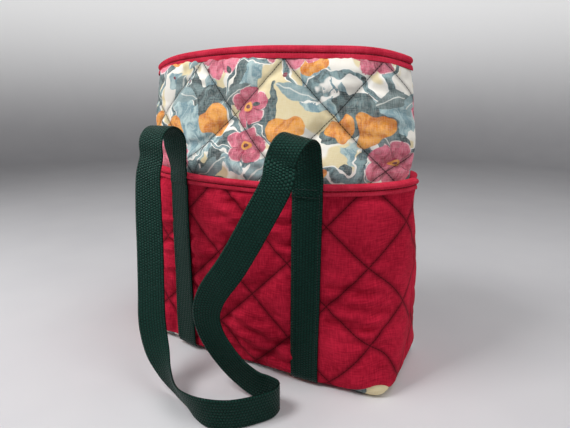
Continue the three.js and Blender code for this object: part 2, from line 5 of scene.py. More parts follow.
import bpy
import numpy as np
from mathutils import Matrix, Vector


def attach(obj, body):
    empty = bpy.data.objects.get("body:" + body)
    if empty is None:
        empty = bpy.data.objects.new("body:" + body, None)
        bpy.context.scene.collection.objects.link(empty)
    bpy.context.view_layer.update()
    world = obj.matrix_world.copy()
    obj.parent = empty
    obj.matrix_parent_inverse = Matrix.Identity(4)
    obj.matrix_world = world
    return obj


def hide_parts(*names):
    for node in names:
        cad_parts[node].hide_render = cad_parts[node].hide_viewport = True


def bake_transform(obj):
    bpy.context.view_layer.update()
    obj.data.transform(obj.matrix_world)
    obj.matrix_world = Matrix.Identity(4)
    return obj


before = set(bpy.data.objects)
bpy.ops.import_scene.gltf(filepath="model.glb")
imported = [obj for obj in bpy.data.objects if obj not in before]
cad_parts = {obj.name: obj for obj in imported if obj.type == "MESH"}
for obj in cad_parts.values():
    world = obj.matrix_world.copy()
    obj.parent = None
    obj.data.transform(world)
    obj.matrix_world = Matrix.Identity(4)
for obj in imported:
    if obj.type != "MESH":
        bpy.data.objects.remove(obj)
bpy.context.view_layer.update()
scene = bpy.context.scene

MM = 0.001

# The bag's form in millimetres, as in the solid model: height, half width, half depth and squareness.
OUTLINES = np.array([
    (0, 135.5, 59, 7),
    (60, 137, 60.5, 3.3),
    (176, 135, 58.5, 2.5),
    (208, 138.5, 36.9, 2),
    (286, 126, 15.1, 2),
], float)
BODY_HEIGHT = 286.0
POCKET_HEIGHT = 176.0
POCKET_BOTTOM = 3.0
POCKET_EDGE_RISE = 5.0
BELLY_HEIGHT = 60.0
SHOULDER_RISE = 32.0
MOUTH_DIP = 11.0
MOUTH_DIP_POWER = 6
BASE_TUCK = 4.0
BASE_TUCK_HEIGHT = 8.0
BASE_TUCK_POWER = 1.6
BODY_STACK = 4.7
POCKET_STACK = 4.1
POCKET_SLACK = 9.0
SLACK_POWER = 4
STRAP_X = 65.0
SEWN_ACROSS = math.asin(STRAP_X / OUTLINES[1, 1]) / (math.pi / 2)
MOUTH_BINDING = 10.0
POCKET_BINDING = 8.0
BINDING_CLOTH = 0.9
GAP = 0.3
AT_SEAM = 0.9999
SEAM_LAP = 0.25
SEAM_DRAW = 2
SEAM_THIN = 0.2

# Lifts of the pocket's lower seam and the bulge of the base's corners: height, place across and spread.
CORNER_LIFT = (8, 0.75, 0.13)
LEFT_LIFT = (4.5, -0.4, 0.16)
BULGE = (5.5, 0.76, 0.16)
BULGE_FADE = (9, 22)

# How the bag stands: its leaning, wavy rim, the side pushed in and the left of the front set back.
RIM_LEAN = 2.4
RIM_DRAW = 0.01
LEAN_FROM = 195
RIM_SWAY = 1.6
RIM_SWAY_LENGTH = 37
RIM_WAVE = 1.2
RIM_WAVE_LENGTH = 29
RIM_WAVE_FROM = 240
SIDE_TUCK = 6.0
SIDE_TUCK_RIGHT = (105, 138)
SIDE_TUCK_BACK = (-14, 8)
SIDE_TUCK_RISE = (100, 165)
SIDE_TUCK_FADE = (225, 262)
LEFT_TURN = 0.085
LEFT_TURN_RANGE = (46, 84)

# Webbing: its size, its folds above the legs and its weave.
WEBBING_WIDTH = 25.4
WEBBING_THICKNESS = 1.4
LEG_BOTTOM = 4.0
LEG_OVER_EDGE = 4.0
FOLD_RISE = 23.0
FOLD_LEAN = 2.5
FOLD_RADIUS = {-1: 15.5, 1: 12.0}
FOLD_TILT = {-1: 0.0, 1: math.radians(11)}
LOOP_LEAD = 8.0
PICK = 1.15
RIBS = 20
RIB_OVER = 0.2
RIB_UNDER = 0.02
RIB_GROOVE = -0.1
SELVEDGE = 0.55
RIB = WEBBING_WIDTH / (RIBS / 2)

# Free loop of a handle: right of the bag, forward of the folds and up, then the way the width points.
LOOP_ROUTE = np.array([
    (-66.5, 8.0, 181, 0.99, 0.06, 0),
    (-64.5, 12.8, 154, 0.98, 0.16, 0),
    (-60.5, 18.8, 121, 0.98, 0.2, 0),
    (-57, 25.2, 86, 0.98, 0.2, 0),
    (-53, 31.2, 57, 0.95, 0.28, 0.1),
    (-46, 35.2, 36, 0.87, 0.2, 0.45),
    (-35, 39.7, 22, 0.6, -0.1, 0.8),
    (-21, 45.2, 14.5, 0.25, -0.35, 0.9),
    (-6, 52.7, 13, 0, -0.4, 0.92),
    (9, 58.2, 13, 0, -0.2, 0.98),
    (24, 58.7, 13, 0, 0, 1),
    (39, 52.2, 13, 0, 0, 1),
    (53, 39.2, 13, 0, 0, 1),
    (62, 25.2, 13, 0, 0, 1),
    (61, 15.2, 13, 0, 0, 1),
    (51, 12.2, 13, 0, 0, 1),
    (39, 13.2, 14.5, 0.15, 0, 0.98),
    (23, 14.2, 22.5, 0.5, 0, 0.86),
    (8, 15.2, 36.5, 0.75, 0.05, 0.66),
    (-3, 16.2, 53, 0.92, 0.1, 0.38),
    (-6, 17.2, 70, 1, 0.15, 0),
    (-0.5, 17.2, 87, 0.94, 0.15, -0.3),
    (19, 14.2, 116, 0.87, 0.15, -0.47),
    (41, 9.2, 156, 0.88, 0.12, -0.45),
    (55, 4.2, 186, 0.91, 0.05, -0.4),
], float)

# Diagonal quilting: a crossing of its lines, half of a diamond's width and height, and grid steps in that.
# Lines end at "reach", and pressure puffs the cloth between them.
RED_QUILT = {
    "anchor": (12.0, 75.0), "half": (34.3, 34.0), "parts": 12,
    "reach": 172.0, "slack": 2.1, "pressure": 3.2,
}
PRINT_QUILT = {
    "anchor": (-22.0, 61.0), "half": (47.5, 49.0), "parts": 16,
    "reach": 900.0, "slack": 0.9, "pressure": 3.0,
}
PRINT_SHIFT = 8 * PRINT_QUILT["half"][0]
GROOVE_DEPTH = 0.7
GROOVE_WIDTH = 2.0
PUCKER = 0.55
PUCKER_REACH = 7
UNEVEN = 0.4
UNEVEN_SEED = 0.7
CREASE_END = 140.0

SIM_SCALE = 10.0
SIM_FRAMES = 26
SIM_CLOTH = {
    "quality": 6, "mass": 0.3, "tension_stiffness": 18, "compression_stiffness": 18,
    "shear_stiffness": 6, "bending_stiffness": 0.6, "air_damping": 4,
    "vertex_group_mass": "sewn", "use_pressure": True, "shrink_min": -0.05,
}
PUFF_CAP = 5.0

# The strip along the floor, up to this height, is cut from another place of the print, this far away.
HEM_TOP = 26.0
HEM_CUT = (-99.0, 235.0)

# Grids: a panel's rows behind its pocket, where its fine rows and its puffs start, and a sewn border's width.
HIDDEN_ROWS = (0.9, 3, 6, 10, 20, 36, 60, 90, 120, 138)
FINE_FROM = -26
PUFF_FROM = -6
BORDER = 2
PANEL_SUNK = 0.4

# The pocket lies flat beside a strap and under its binding, and is sunk elsewhere.
STRAP_FLAT = (11.5, 15.5)
BOUND_FLAT = (12, 8)
POCKET_SUNK = 1.1
POCKET_FACE = 0.1
POCKET_BACK = 0.15

# Base: how far it reaches to the side seams, its top, and the height and width of its sewn grooves.
BASE_REACH = 0.97
BASE_TOP = 4.6
BASE_GROOVE = 1.3
BASE_GROOVE_WIDTH = 4

# Stations along a binding, a leg, a fold's rise and half turn, and one stretch of the loop.
TAPE_STATIONS = 301
LEG_STATIONS = 180
RISE_STATIONS = 24
TURN_STATIONS = 41
ROUTE_STEPS = 24

# Sewing thread: its stitches on the bindings and the straps, and those drawn along the quilting.
BINDING_STITCH = (2.8, 0.3)
STRAP_STITCH = (2.6, 0.34)
STITCH_SHARE = 0.74
STITCH_LIFT = 0.25
STRAP_STITCH_LIFT = 0.12
STITCH_SHAPE = [(0.0, -0.6, 0.3), (0.16, 0.35, 0.9), (0.5, 0.7, 1.0), (0.84, 0.35, 0.9), (1.0, -0.6, 0.3)]
STITCH_RING = np.arange(6) * math.pi / 3
QUILT_STITCH = 2.8
QUILT_STITCH_SEEN = 2.4
QUILT_THREAD = (0.3, 0.6)
# Reach of the painted shade beside the quilting lines: full within the first distance, none beyond the second,
# in millimetres.
QUILT_SHADE = (0.2, 6.0)

# Folded tape in section, out and up: a flat edge, the groove of its stitching and a padded roll to the top.
ROLL_HEIGHT = 10.5
POCKET_ROLL = 8.4
GROOVE_UP = -5.6
ROLL_OUTSIDE = [
    (0.0, -10.2), (0.8, -10.6), (1.25, -10.2), (1.35, -9.0), (1.3, -7.4), (1.1, -6.6), (0.5, -6.1),
    (-0.2, GROOVE_UP), (0.6, -5.2), (1.7, -4.5), (2.4, -3.2), (2.5, -2.0), (2.0, -0.7), (0.8, 0.3),
    (-0.8, 0.8),
]


def smooth(low, high, value):
    """0 below low, 1 above high and smooth between them."""
    t = np.clip((np.asarray(value, float) - low) / (high - low), 0, 1)
    return t * t * (3 - 2 * t)


def bell(distance, spread):
    """1 at no distance, falling smoothly to nothing."""
    return np.exp(-((distance / spread) ** 2))


def eased(start, end, leave, arrive, t):
    """A curve from start to end, as t goes from 0 to 1, with a slope at each."""
    value = start + (end - start) * (t * t * (3 - 2 * t))
    return value + leave * t * (1 - t) ** 2 - arrive * t * t * (1 - t)


def hump(across, lift, middle, spread):
    """A soft rise at one place across the bag."""
    return lift * bell(across - middle, spread)


def unit(vectors):
    """Vectors at length 1."""
    return vectors / np.maximum(np.linalg.norm(vectors, axis=-1, keepdims=True), 1e-9)


def resampled(at, length, values):
    """Rows of values, read off at other distances along their line."""
    return np.stack([np.interp(at, length, column) for column in values.T], -1)


def distance_along(points):
    """Distance from the first of a line of points to each of them."""
    return np.concatenate([[0], np.cumsum(np.linalg.norm(np.diff(points, axis=0), axis=1))])


def ripple(x, y, seed):
    """A gentle, fixed unevenness between about -1 and 1."""
    total = np.zeros(np.broadcast(x, y).shape)
    for k in range(1, 6):
        turn = 2.4 * k + seed
        scale = 0.035 * 1.5 ** k
        along = np.cos(turn) * x + np.sin(turn) * y
        total += np.sin(scale * along + 1.7 * seed * k + np.sin(0.4 * scale * (x - y))) / k
    return total / 2.2


def outline_slopes():
    """Slope at each outline for a curve that never overshoots its points."""
    z, values = OUTLINES[:, 0], OUTLINES[:, 1:]
    rise = np.diff(values, axis=0) / np.diff(z)[:, None]
    slopes = np.zeros_like(values)
    slopes[0], slopes[-1] = rise[0], rise[-1]
    for i in range(1, len(z) - 1):
        below, above = z[i] - z[i - 1], z[i + 1] - z[i]
        first, second = 2 * above + below, above + 2 * below
        for column in range(3):
            a, b = rise[i - 1, column], rise[i, column]
            if a * b > 0:
                slopes[i, column] = (first + second) / (first / a + second / b)
    return slopes


SLOPES = outline_slopes()


def outline_at(height):
    """Half width, half depth and squareness of the body at each height."""
    z = OUTLINES[:, 0]
    h = np.clip(np.asarray(height, float), 0, BODY_HEIGHT)
    k = np.clip(np.searchsorted(z, h, side="right") - 1, 0, len(z) - 2)
    span = (z[k + 1] - z[k])[..., None]
    t = (h - z[k])[..., None] / span
    return eased(OUTLINES[k, 1:], OUTLINES[k + 1, 1:], SLOPES[k] * span, SLOPES[k + 1] * span, t)


def rim_height(across):
    """The mouth's edge, which dips to the side seams."""
    return BODY_HEIGHT - MOUTH_DIP * np.abs(np.sin(np.asarray(across) * np.pi / 2)) ** MOUTH_DIP_POWER


def pocket_edge(across):
    """The pocket's upper edge, higher towards the sides and drawn down in the side seams."""
    rise = POCKET_EDGE_RISE * np.sin(np.asarray(across) * np.pi / 2) ** 2
    return POCKET_HEIGHT + rise - SEAM_DRAW * smooth(0.9, 1.0, np.abs(across))


def pocket_bottom(across):
    """The pocket's lower seam, which lifts at the boxed corners and lets the printed base show."""
    return POCKET_BOTTOM + hump(np.abs(across), *CORNER_LIFT) + hump(across, *LEFT_LIFT)


def turned_away(x):
    """The left of the front is set back, so that the strap there faces more to the left."""
    return 1 - LEFT_TURN * smooth(*LEFT_TURN_RANGE, -np.asarray(x))


def base_tuck(height):
    """How far the cloth draws in towards the base."""
    return BASE_TUCK * np.maximum(0, 1 - height / BASE_TUCK_HEIGHT) ** BASE_TUCK_POWER


def front_point(across, height, outward):
    """Points of the front surface: across runs from -1 at the left seam to 1 at the right seam."""
    across, height, outward = np.broadcast_arrays(*(np.asarray(v, float) for v in (across, height, outward)))
    wide, deep, square = np.moveaxis(outline_at(height), -1, 0)
    grow = outward - base_tuck(height)
    share = np.sin(across * np.pi / 2)
    depth = (deep + grow) * np.maximum(0, 1 - np.abs(share) ** square) ** (1 / square)
    x = share * (wide + grow)
    return np.stack([x, -depth * turned_away(x), height], -1)


def slack_at(across, height):
    """How far the body stands back from the pocket between the sewn lines."""
    size = np.abs(across)
    inner = size < SEWN_ACROSS
    middle = np.where(inner, 0, (1 + SEWN_ACROSS) / 2)
    reach = np.where(inner, SEWN_ACROSS, (1 - SEWN_ACROSS) / 2)
    open_up = smooth(BASE_TUCK_HEIGHT, BELLY_HEIGHT, height)
    edge = pocket_edge(across)
    shut = 1 - smooth(0, SHOULDER_RISE, height - edge)
    return POCKET_SLACK * np.maximum(0, 1 - np.abs((size - middle) / reach) ** SLACK_POWER) * open_up * shut


def pocket_standoff(height):
    """Room between the body and the pocket's lining, wider where the binding folds in."""
    return GAP + (BINDING_CLOTH + GAP) * smooth(BELLY_HEIGHT, POCKET_HEIGHT - POCKET_BINDING, height)


def body_point(across, height, outward):
    """The body, measured outwards from its front surface and set back behind the pocket."""
    point = front_point(across, height, outward)
    point[..., 1] = np.minimum(point[..., 1] + slack_at(across, height), 0)
    point[..., 1] += SEAM_LAP * (np.abs(across) > AT_SEAM)
    return point


def pocket_point(across, height, outward):
    """The pocket, measured outwards from the back of its lining and pressed thin in the side seams."""
    thin = 1 - SEAM_THIN * smooth(0.8, 1.0, np.abs(across))
    point = front_point(across, height, (pocket_standoff(height) + outward) * thin)
    point[..., 1] += SEAM_LAP * (np.abs(across) > AT_SEAM)
    return point


def points_of(mesh):
    """A mesh's points, in metres."""
    co = np.zeros(len(mesh.vertices) * 3)
    mesh.vertices.foreach_get("co", co)
    return co.reshape(-1, 3)


def move_points(mesh, points):
    """Puts a mesh's points in new places, in metres."""
    mesh.vertices.foreach_set("co", points.ravel())
    mesh.update()


def settle(obj):
    """How the bag stands: its top to the left, its rim uneven and one side pushed in."""
    points = points_of(obj.data) / MM
    x, y, z = points.T.copy()
    rise = smooth(LEAN_FROM, BODY_HEIGHT, z)
    tuck = smooth(*SIDE_TUCK_RIGHT, x) * smooth(*SIDE_TUCK_BACK, y) * smooth(*SIDE_TUCK_RISE, z)
    points[:, 0] -= SIDE_TUCK * (tuck * (1 - smooth(*SIDE_TUCK_FADE, z)))
    points[:, 0] -= (RIM_LEAN + RIM_DRAW * x) * rise
    points[:, 1] += RIM_SWAY * rise * np.sin(x / RIM_SWAY_LENGTH + 0.6)
    points[:, 2] += RIM_WAVE * smooth(RIM_WAVE_FROM, BODY_HEIGHT, z) * np.sin(x / RIM_WAVE_LENGTH + 1.9)
    move_points(obj.data, points * MM)


SWEEP = np.linspace(-1, 1, 1601)


def run_length(height, outward):
    """Distance round the front at a height, from the middle, at each place in SWEEP."""
    length = distance_along(front_point(SWEEP, height, outward))
    return length - length[-1] / 2


POCKET_RUN_HEIGHT = 100
POCKET_RUN = run_length(POCKET_RUN_HEIGHT, POCKET_STACK)[-1]
SHOULDER = POCKET_HEIGHT + SHOULDER_RISE
BODY_RUN = run_length(SHOULDER, 0)[-1]


def across_for(run, half_run, height, outward):
    """Places across the front at distances from its middle, for cloth half_run wide to the seam."""
    length = run_length(height, outward)
    return np.interp(np.asarray(run) * length[-1] / half_run, length, SWEEP)


LEAST_STEP = 0.4


def lattice(low, high, quilt, way):
    """Grid lines from low to high on the quilting, along (0) or up (1) the cloth, and their places in it."""
    anchor = quilt["anchor"][way]
    step = quilt["half"][way] / quilt["parts"]
    first = math.ceil((low - anchor) / step + LEAST_STEP)
    last = math.floor((high - anchor) / step - LEAST_STEP)
    index = np.arange(first, last + 1)
    lines = np.concatenate([[low], anchor + index * step, [high]])
    return lines, np.concatenate([[first - 1], index, [last + 1]])


def sewn_lines(rise_places, run_places, parts):
    """Which points of a grid lie on the quilting's diagonal lines."""
    total, gap = np.add.outer(rise_places, run_places), np.subtract.outer(rise_places, run_places)
    return (total % (2 * parts) == 0) | (gap % (2 * parts) == 0)


def from_lines(run, rise, quilt):
    """For both sets of quilting lines: the distance from the nearest line, and the place along it."""
    p = (run - quilt["anchor"][0]) / quilt["half"][0]
    q = (rise - quilt["anchor"][1]) / quilt["half"][1]
    rising, falling = p + q, p - q
    apart = 1 / math.hypot(*(1 / h for h in quilt["half"]))
    length = math.hypot(*quilt["half"]) / 2
    pairs = (rising, falling), (falling, rising)
    return [(abs((side + 1) % 2 - 1) * apart, along * length) for side, along in pairs]


def line_distance(run, rise, quilt):
    """Distance from the nearest quilting line."""
    return np.minimum(*(away for away, along in from_lines(run, rise, quilt)))


def facing(grid):
    """Unit normals of a grid of points whose columns run left to right and rows upwards."""
    return unit(np.cross(np.gradient(grid, axis=1), np.gradient(grid, axis=0)))


def build(name, points, faces, uv=None, materials=(), face_slots=None):
    """A mesh object from points in millimetres."""
    mesh = bpy.data.meshes.new(name)
    mesh.from_pydata((np.asarray(points, float).reshape(-1, 3) * MM).tolist(), [], faces)
    if uv is not None:
        corner = np.zeros(len(mesh.loops), int)
        mesh.loops.foreach_get("vertex_index", corner)
        layer = mesh.uv_layers.new(name="cloth")
        layer.data.foreach_set("uv", np.asarray(uv, float).reshape(-1, 2)[corner].astype(np.float32).ravel())
    for material in materials:
        mesh.materials.append(material)
    if face_slots is not None:
        mesh.polygons.foreach_set("material_index", np.asarray(face_slots, np.int32))
    mesh.polygons.foreach_set("use_smooth", np.ones(len(mesh.polygons), bool))
    mesh.update()
    obj = bpy.data.objects.new(name, mesh)
    scene.collection.objects.link(obj)
    return obj


def grid_faces(rows, columns, start=0, flip=False):
    """Faces of a grid of points, in rows from left to right."""
    index = start + np.arange(rows * columns).reshape(rows, columns)
    a, b, c, d = index[:-1, :-1], index[:-1, 1:], index[1:, 1:], index[1:, :-1]
    order = (d, c, b, a) if flip else (a, b, c, d)
    return np.stack(order, -1).reshape(-1, 4).tolist()


def shell(name, outer, inner, uv, materials):
    """A closed padded panel between two grids; the inner side takes the second material."""
    rows, columns = outer.shape[:2]
    count = rows * columns
    index = np.arange(count).reshape(rows, columns)
    ring = np.concatenate([index[0, :-1], index[:-1, -1], index[-1, :0:-1], index[:0:-1, 0]])
    following = np.roll(ring, -1)
    border = np.stack([following, ring, ring + count, following + count], -1).tolist()
    front = grid_faces(rows, columns)
    back = grid_faces(rows, columns, count, True)
    slots = [0] * len(front) + [len(materials) - 1] * len(back) + [0] * len(border)
    points = np.concatenate([outer.reshape(-1, 3), inner.reshape(-1, 3)])
    uv = np.concatenate([uv.reshape(-1, 2)] * 2)
    return build(name, points, front + back + border, uv, materials, slots)


def tube_faces(count, size, start=0, closed=False):
    """Faces from ring to ring, each of size points; a tube that isn't closed on itself is capped."""
    index = start + np.arange(count * size).reshape(count, size)
    here, there = index, np.roll(index, -1, 0)
    if not closed:
        here, there = here[:-1], there[:-1]
    corners = here, np.roll(here, -1, 1), np.roll(there, -1, 1), there
    faces = np.stack(corners, -1).reshape(-1, 4).tolist()
    return faces if closed else faces + [index[0, ::-1].tolist(), index[-1].tolist()]


def puffed(points, sewn, pressure):
    """Simulated cloth: a grid pushed out between its sewn points. Gives how far each point moves."""
    rows, columns = sewn.shape
    obj = build("puff", points * SIM_SCALE, grid_faces(rows, columns))
    group = obj.vertex_groups.new(name="sewn")
    group.add(np.flatnonzero(sewn.ravel()).tolist(), 1.0, "REPLACE")
    cloth = obj.modifiers.new("cloth", "CLOTH")
    settings = cloth.settings
    for name, value in SIM_CLOTH.items():
        setattr(settings, name, value)
    settings.uniform_pressure_force = pressure
    settings.effector_weights.gravity = 0
    cloth.collision_settings.use_collision = False
    cloth.point_cache.frame_start = 1
    cloth.point_cache.frame_end = SIM_FRAMES
    for number in range(1, SIM_FRAMES + 1):
        scene.frame_set(number)
    seen = obj.evaluated_get(bpy.context.evaluated_depsgraph_get()).data
    moved = points_of(seen).reshape(points.shape) / (SIM_SCALE * MM) - points
    scene.frame_set(1)
    mesh = obj.data
    bpy.data.objects.remove(obj)
    bpy.data.meshes.remove(mesh)
    size = np.linalg.norm(moved, axis=-1, keepdims=True)
    return moved * np.minimum(1, PUFF_CAP / np.maximum(size, 1e-9))


def puckers(run, rise, quilt):
    """Small gathers that the sewn lines pull into the cloth beside them."""
    total = np.zeros(np.shape(run))
    for away, along in from_lines(run, rise, quilt):
        wave = np.sin(along * 0.72 + 1.3 * np.sin(along * 0.19)) + 0.6 * np.sin(along * 0.41 + 2.0)
        total += wave * bell(away, PUCKER_REACH) * smooth(0.5, 3, away)
    return total


def folds(run, rise):
    """Soft, mostly level creases, strong in some places and absent in others."""
    wave = np.sin(rise * 0.4 + run * 0.07 + 1.4 * np.sin(run * 0.05)) + 0.5 * np.sin(rise * 0.63 - run * 0.11)
    where = 0.5 + 0.5 * np.sin(run * 0.037 + 0.9) * np.sin(rise * 0.049 + 0.3 + run * 0.008)
    return wave * smooth(0.3, 0.8, where)


def quilted(points, run, rise, sewn, quilt):
    """Padded cloth over a grid: simulated puffs, drawn down along the sewn lines, with gathers and slack."""
    normal = facing(points)
    distance = line_distance(run, rise, quilt)
    free = np.where(sewn, 0.0, 1.0)
    move = puffed(points, sewn, quilt["pressure"])
    groove = -GROOVE_DEPTH * bell(distance, GROOVE_WIDTH)
    loose = PUCKER * puckers(run, rise, quilt) + UNEVEN * ripple(run, rise, UNEVEN_SEED)
    loose = loose + quilt["slack"] * folds(run, rise)
    loose = loose * (1 - smooth(CREASE_END - 20, CREASE_END, np.abs(run)))
    thin = 1 - 0.6 * smooth(CREASE_END - 10, CREASE_END + 20, np.abs(run))
    return points + move * thin[..., None] + normal * ((groove + loose) * free)[..., None]


class Wire:
    """A socket of a material's nodes, for use in Python expressions."""

    def __init__(self, tree, socket=None):
        self.tree = tree
        self.socket = socket

    def node(self, kind, settings=None, inputs=None, output=0):
        """A new node: its settings come first, then the values or links of its sockets."""
        made = self.tree.nodes.new("ShaderNode" + kind)
        for name, value in (settings or {}).items():
            setattr(made, name, value)
        for name, value in (inputs or {}).items():
            if isinstance(value, Wire):
                self.tree.links.new(value.socket, made.inputs[name])
            else:
                made.inputs[name].default_value = value
        return Wire(self.tree, made.outputs[output])

    def output(self, name):
        """Another output of the same node."""
        return Wire(self.tree, self.socket.node.outputs[name])

    def reckon(self, operation, first, second=0.0):
        """Math on values, or Vector Math where either side is a vector."""
        wires = [v for v in (first, second) if isinstance(v, Wire)]
        if all(v.socket.type == "VALUE" for v in wires) and not isinstance(second, tuple):
            return self.node("Math", {"operation": operation}, {0: first, 1: second})
        sides = [v if isinstance(v, (Wire, tuple)) else (v, v, v) for v in (first, second)]
        return self.node("VectorMath", {"operation": operation}, {0: sides[0], 1: sides[1]})

    def __abs__(self):
        return self.reckon("ABSOLUTE", self)

    def __lt__(self, other):
        return self.reckon("LESS_THAN", self, other)

    def __gt__(self, other):
        return self.reckon("GREATER_THAN", self, other)

    def sine(self):
        return self.reckon("SINE", self)

    def most(self, other):
        return self.reckon("MAXIMUM", self, other)

    def parts(self):
        """The X, Y and Z of a vector."""
        first = self.node("SeparateXYZ", None, {0: self})
        return first, first.output(1), first.output(2)

    def step(self, low, high):
        """0 below low, 1 above high and smooth between them."""
        inputs = {"Value": self, "From Min": low, "From Max": high}
        return self.node("MapRange", {"interpolation_type": "SMOOTHSTEP"}, inputs)

    def noise(self, scale, detail, roughness=0.5):
        """Fractal noise at this place on the cloth."""
        inputs = {"Vector": self, "Scale": scale, "Detail": detail, "Roughness": roughness}
        return self.node("TexNoise", {"noise_dimensions": "2D"}, inputs)

    def tint(self, below, above):
        """A colour between two others, by this value; plain ones are as on a screen, 0 to 255."""
        below, above = (colour(*v) if isinstance(v, tuple) else v for v in (below, above))
        settings = {"data_type": "RGBA", "clamp_factor": True}
        return self.node("Mix", settings, {0: self, 6: below, 7: above}, 2)


def overload(name, operation):
    """Gives the class an operator and its reflected form."""
    setattr(Wire, f"__{name}__", lambda self, other: self.reckon(operation, self, other))
    setattr(Wire, f"__r{name}__", lambda self, other: self.reckon(operation, other, self))


overload("add", "ADD")
overload("sub", "SUBTRACT")
overload("mul", "MULTIPLY")
overload("truediv", "DIVIDE")
overload("pow", "POWER")
overload("mod", "FLOORED_MODULO")


def colour(red, green, blue):
    """A colour written as it looks on a screen, 0 to 255."""
    parts = [v / 255 for v in (red, green, blue)]
    return tuple(v / 12.92 if v <= 0.04045 else ((v + 0.055) / 1.055) ** 2.4 for v in parts) + (1.0,)


def finish(name, paint, *options):
    """A material whose paint function gives the shader's changing and fixed sockets."""
    made = bpy.data.materials.new(name)
    made.use_nodes = True
    tree = made.node_tree
    shader = next(n for n in tree.nodes if n.type == "BSDF_PRINCIPLED")
    place = Wire(tree).node("UVMap", {"uv_map": "cloth"})
    for socket, value in paint(place, *options).items():
        if isinstance(value, Wire):
            tree.links.new(value.socket, shader.inputs[socket])
        else:
            shader.inputs[socket].default_value = value
    return made


def bumped(height, strength, distance):
    """A normal from a height; distance is what 1 stands for, in millimetres."""
    inputs = {"Strength": strength, "Distance": distance * MM, "Height": height}
    return height.node("Bump", None, inputs)


def cotton(base, roughness, shine, threads, strength, depth):
    """Sockets of a cotton whose threads stand up a little."""
    normal = bumped(threads, strength, depth)
    return {"Base Color": base, "Roughness": roughness, "Specular IOR Level": shine, "Normal": normal}


def slubs(place, thread):
    """Uneven threads of a plain cotton both ways, about 0 to 1."""
    warp = (place * (1 / thread, 0.12 / thread, 0)).noise(1.0, 3.0, 0.6)
    weft = (place * (0.12 / thread, 1 / thread, 0)).noise(1.0, 3.0, 0.6)
    return (warp + weft) * 0.5


def sewing(place, quilt):
    """Nearness to the quilting lines, 0 to 1, which sets the painted shade in their grooves, and the thread's
    stitches along them.
    """
    across, up = place.parts()[:2]
    near, thread = None, None
    for away, along in from_lines(across, up, quilt):
        close = 1 - away.step(*QUILT_SHADE)
        stitch = (1 - away.step(*QUILT_THREAD)) * (along % QUILT_STITCH < QUILT_STITCH_SEEN)
        near = close if near is None else near.most(close)
        thread = stitch if thread is None else thread.most(stitch)
    front = 1 - abs(across).step(quilt["reach"], quilt["reach"] + 2)
    return near * front, thread * front


def red_cotton(place):
    """Pocket cotton, quilted in diamonds, with painted shade in and beside the quilting lines."""
    near, thread = sewing(place, RED_QUILT)
    threads = slubs(place, 1.1)
    cloud = place.noise(0.03, 3.0)
    base = (threads * 0.8 + cloud * 0.3).step(0.3, 0.78).tint((148, 10, 37), (212, 38, 68))
    # painted shade: darker red in and beside the quilting grooves
    drawn = (near * near * 0.6).tint(base, (84, 6, 20))
    sewn = (thread * 0.75).tint(drawn, (48, 6, 16))
    return cotton(sewn, 0.9, 0.1, threads, 0.5, 0.6)


def binding_cotton(place):
    """Folded tape along the edges, with painted shade in the groove of its stitching and along its lower edge.
    """
    threads = slubs(place, 1.0)
    cloud = place.noise(0.05, 3.0)
    up = place.parts()[1]
    # painted shade in the stitched groove below the padded roll
    groove = 1 - abs(up - GROOVE_UP).step(0.15, 0.75)
    lower = 1 - (up + ROLL_HEIGHT).step(0.0, 0.5)
    base = (threads * 0.7 + cloud * 0.4).step(0.3, 0.85).tint((172, 24, 48), (220, 58, 84))
    # painted shade: dark red in the groove and under the tape's lower edge
    sewn = (groove.most(lower) * 0.72).tint(base, (64, 8, 20))
    return cotton(sewn, 0.88, 0.12, threads, 0.45, 0.5)


def lining_cotton(place):
    """Plain pale cotton inside the bag and the pockets."""
    threads = slubs(place, 1.0)
    pale = threads.step(0.3, 0.8).tint((196, 176, 180), (222, 206, 208))
    return cotton(pale, 0.9, 0.25, threads, 0.3, 0.5)


def scattered(place, spacing, shift):
    """One motif for each cell of a loose scatter: X and Y from its middle, and two random numbers."""
    at = (place + shift) * (1 / spacing)
    settings = {"voronoi_dimensions": "2D"}
    cell = at.node("TexVoronoi", settings, {"Vector": at, "Scale": 1.0, "Randomness": 0.9}, "Position")
    chance = cell.output("Color").node("SeparateColor", None, {0: cell.output("Color")})
    away = (at - cell) * spacing
    inputs = {"Vector": away, "Angle": chance * 6.283}
    spun = away.node("VectorRotate", {"rotation_type": "Z_AXIS"}, inputs)
    return *spun.parts()[:2], chance.output(1), chance.output(2)


